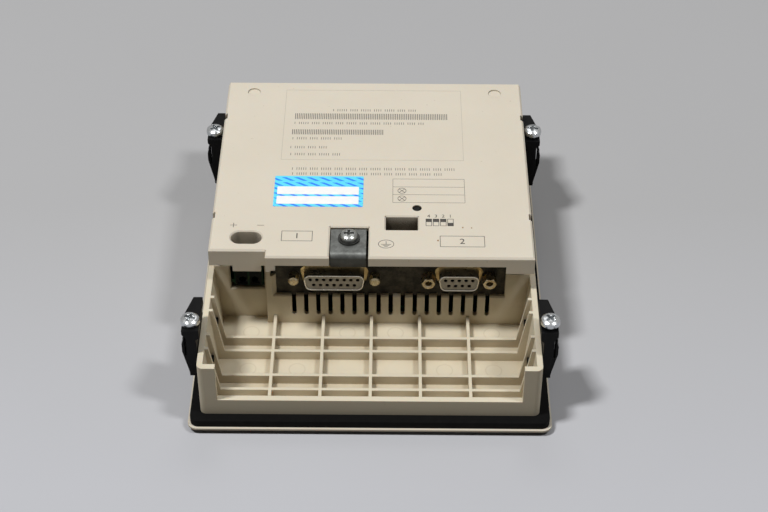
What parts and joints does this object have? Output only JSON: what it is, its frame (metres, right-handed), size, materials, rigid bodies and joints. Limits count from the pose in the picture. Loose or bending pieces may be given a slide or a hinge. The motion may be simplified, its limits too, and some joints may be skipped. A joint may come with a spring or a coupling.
{
  "type": "hmi operator panel",
  "caption": "Operator panel for a cabinet door: cream casing with a cable tray, screw clamps, D-shaped ports, power terminals, touch display and keys.",
  "frame": {"origin": "centre of the front face, on the plane of the rim", "axes": "+Z from the front face to the rear cover, +Y from the cable tray to the display edge, +X to the right when the rear is seen with the tray near"},
  "size_m": [0.1468, 0.204, 0.0507],
  "materials": {
    "cream_casing": "fine moulded grain",
    "zinc_screws": "bright zinc",
    "black_clamps": "moulded",
    "grey_keys": "satin",
    "tinned_shells": "tinned",
    "connector_inserts": "satin",
    "circuit_boards": "solder resist",
    "switch_sliders": "moulded",
    "keypad_foil": "fine matt foil",
    "touch_glass": "clear",
    "black_seal": "matt",
    "dark_plate": "dark passivated",
    "terminal_block": "moulded",
    "switch_body": "moulded",
    "light_pipe": "clear tinted",
    "display_unit": "satin",
    "board_link": "moulded",
    "key_domes": "pressed"
  },
  "bodies": {
    "housing": {"front_frame": "cream_casing", "keypad_foil": "keypad_foil", "touch_glass": "touch_glass", "panel_gasket": "black_seal", "casing_tray": "cream_casing", "rear_cover": "cream_casing", "connector_plate": "dark_plate", "dsub15_shell": "tinned_shells", "dsub15_body": "connector_inserts", "dsub9_shell": "tinned_shells", "dsub9_body": "connector_inserts", "lock_posts": "zinc_screws", "jack_screws": "zinc_screws", "earth_washer": "zinc_screws", "earth_nut": "zinc_screws", "terminal_block": "terminal_block", "dip_body": "switch_body", "status_led": "light_pipe", "main_board": "circuit_boards", "keypad_board": "circuit_boards", "lcd_module": "display_unit", "board_link": "board_link", "key_domes": "key_domes", "board_screws": "zinc_screws"},
    "earth_screw_body": {"earth_screw": "zinc_screws"},
    "terminal_screw_1_body": {"terminal_screw_1": "zinc_screws"},
    "terminal_screw_2_body": {"terminal_screw_2": "zinc_screws"},
    "dip_slider_1": {"dip_slider_1": "switch_sliders"},
    "dip_slider_2": {"dip_slider_2": "switch_sliders"},
    "dip_slider_3": {"dip_slider_3": "switch_sliders"},
    "dip_slider_4": {"dip_slider_4": "switch_sliders"},
    "clamp_body_1": {"clamp_body_1": "black_clamps"},
    "clamp_body_2": {"clamp_body_2": "black_clamps"},
    "clamp_body_3": {"clamp_body_3": "black_clamps"},
    "clamp_body_4": {"clamp_body_4": "black_clamps"},
    "clamp_foot_1": {"clamp_foot_1": "black_clamps"},
    "clamp_foot_2": {"clamp_foot_2": "black_clamps"},
    "clamp_foot_3": {"clamp_foot_3": "black_clamps"},
    "clamp_foot_4": {"clamp_foot_4": "black_clamps"},
    "clamp_screw_1": {"clamp_screw_1": "zinc_screws"},
    "clamp_screw_2": {"clamp_screw_2": "zinc_screws"},
    "clamp_screw_3": {"clamp_screw_3": "zinc_screws"},
    "clamp_screw_4": {"clamp_screw_4": "zinc_screws"},
    "key_11": {"key_11": "grey_keys"},
    "key_12": {"key_12": "grey_keys"},
    "key_13": {"key_13": "grey_keys"},
    "key_14": {"key_14": "grey_keys"},
    "key_21": {"key_21": "grey_keys"},
    "key_22": {"key_22": "grey_keys"},
    "key_23": {"key_23": "grey_keys"},
    "key_24": {"key_24": "grey_keys"}
  },
  "joints": [
    {"name": "key_11_press", "type": "slide", "parent": "housing", "child": "key_11", "axis": [0, 0, 1], "range_m": [0, 0.0004], "stiffness_N_per_m": 1500, "springref_m": -0.0005},
    {"name": "key_12_press", "type": "slide", "parent": "housing", "child": "key_12", "axis": [0, 0, 1], "range_m": [0, 0.0004], "stiffness_N_per_m": 1500, "springref_m": -0.0005},
    {"name": "key_13_press", "type": "slide", "parent": "housing", "child": "key_13", "axis": [0, 0, 1], "range_m": [0, 0.0004], "stiffness_N_per_m": 1500, "springref_m": -0.0005},
    {"name": "key_14_press", "type": "slide", "parent": "housing", "child": "key_14", "axis": [0, 0, 1], "range_m": [0, 0.0004], "stiffness_N_per_m": 1500, "springref_m": -0.0005},
    {"name": "key_21_press", "type": "slide", "parent": "housing", "child": "key_21", "axis": [0, 0, 1], "range_m": [0, 0.0004], "stiffness_N_per_m": 1500, "springref_m": -0.0005},
    {"name": "key_22_press", "type": "slide", "parent": "housing", "child": "key_22", "axis": [0, 0, 1], "range_m": [0, 0.0004], "stiffness_N_per_m": 1500, "springref_m": -0.0005},
    {"name": "key_23_press", "type": "slide", "parent": "housing", "child": "key_23", "axis": [0, 0, 1], "range_m": [0, 0.0004], "stiffness_N_per_m": 1500, "springref_m": -0.0005},
    {"name": "key_24_press", "type": "slide", "parent": "housing", "child": "key_24", "axis": [0, 0, 1], "range_m": [0, 0.0004], "stiffness_N_per_m": 1500, "springref_m": -0.0005},
    {"name": "clamp_1_unhook", "type": "slide", "parent": "housing", "child": "clamp_body_1", "axis": [-1, 0, 0], "range_m": [0, 0.006]},
    {"name": "clamp_1_turn", "type": "hinge", "parent": "clamp_body_1", "child": "clamp_screw_1", "pos_m": [-0.0696, -0.0834, 0.0433], "axis": [0, 0, -1], "range_deg": [0, 4115]},
    {"name": "clamp_1_foot", "type": "slide", "parent": "clamp_body_1", "child": "clamp_foot_1", "axis": [0, 0, -1], "range_m": [0, 0.008]},
    {"name": "clamp_2_unhook", "type": "slide", "parent": "housing", "child": "clamp_body_2", "axis": [1, 0, 0], "range_m": [0, 0.006]},
    {"name": "clamp_2_turn", "type": "hinge", "parent": "clamp_body_2", "child": "clamp_screw_2", "pos_m": [0.0696, -0.0834, 0.0433], "axis": [0, 0, -1], "range_deg": [0, 4115]},
    {"name": "clamp_2_foot", "type": "slide", "parent": "clamp_body_2", "child": "clamp_foot_2", "axis": [0, 0, -1], "range_m": [0, 0.008]},
    {"name": "clamp_3_unhook", "type": "slide", "parent": "housing", "child": "clamp_body_3", "axis": [-1, 0, 0], "range_m": [0, 0.006]},
    {"name": "clamp_3_turn", "type": "hinge", "parent": "clamp_body_3", "child": "clamp_screw_3", "pos_m": [-0.0696, 0.038, 0.0433], "axis": [0, 0, -1], "range_deg": [0, 4115]},
    {"name": "clamp_3_foot", "type": "slide", "parent": "clamp_body_3", "child": "clamp_foot_3", "axis": [0, 0, -1], "range_m": [0, 0.008]},
    {"name": "clamp_4_unhook", "type": "slide", "parent": "housing", "child": "clamp_body_4", "axis": [1, 0, 0], "range_m": [0, 0.006]},
    {"name": "clamp_4_turn", "type": "hinge", "parent": "clamp_body_4", "child": "clamp_screw_4", "pos_m": [0.0696, 0.038, 0.0433], "axis": [0, 0, -1], "range_deg": [0, 4115]},
    {"name": "clamp_4_foot", "type": "slide", "parent": "clamp_body_4", "child": "clamp_foot_4", "axis": [0, 0, -1], "range_m": [0, 0.008]},
    {"name": "dip_1_slide", "type": "slide", "parent": "housing", "child": "dip_slider_1", "axis": [0, 1, 0], "range_m": [-0.0018, 0]},
    {"name": "dip_2_slide", "type": "slide", "parent": "housing", "child": "dip_slider_2", "axis": [0, 1, 0], "range_m": [-0.0018, 0]},
    {"name": "dip_3_slide", "type": "slide", "parent": "housing", "child": "dip_slider_3", "axis": [0, 1, 0], "range_m": [-0.0018, 0]},
    {"name": "dip_4_slide", "type": "slide", "parent": "housing", "child": "dip_slider_4", "axis": [0, 1, 0], "range_m": [0, 0.0018]},
    {"name": "terminal_1_turn", "type": "hinge", "parent": "housing", "child": "terminal_screw_1_body", "pos_m": [-0.05324, -0.0367, 0.0335], "axis": [0, 0, -1], "continuous": true},
    {"name": "terminal_2_turn", "type": "hinge", "parent": "housing", "child": "terminal_screw_2_body", "pos_m": [-0.04816, -0.0367, 0.0335], "axis": [0, 0, -1], "continuous": true},
    {"name": "earth_turn", "type": "hinge", "parent": "housing", "child": "earth_screw_body", "pos_m": [-0.00915, -0.0384, 0.0483], "axis": [0, 0, -1], "continuous": true}
  ],
  "couplings": [
    {"joint": "clamp_1_turn", "follows": "clamp_1_foot", "rad_per_m": 8976},
    {"joint": "clamp_2_turn", "follows": "clamp_2_foot", "rad_per_m": 8976},
    {"joint": "clamp_3_turn", "follows": "clamp_3_foot", "rad_per_m": 8976},
    {"joint": "clamp_4_turn", "follows": "clamp_4_foot", "rad_per_m": 8976}
  ]
}
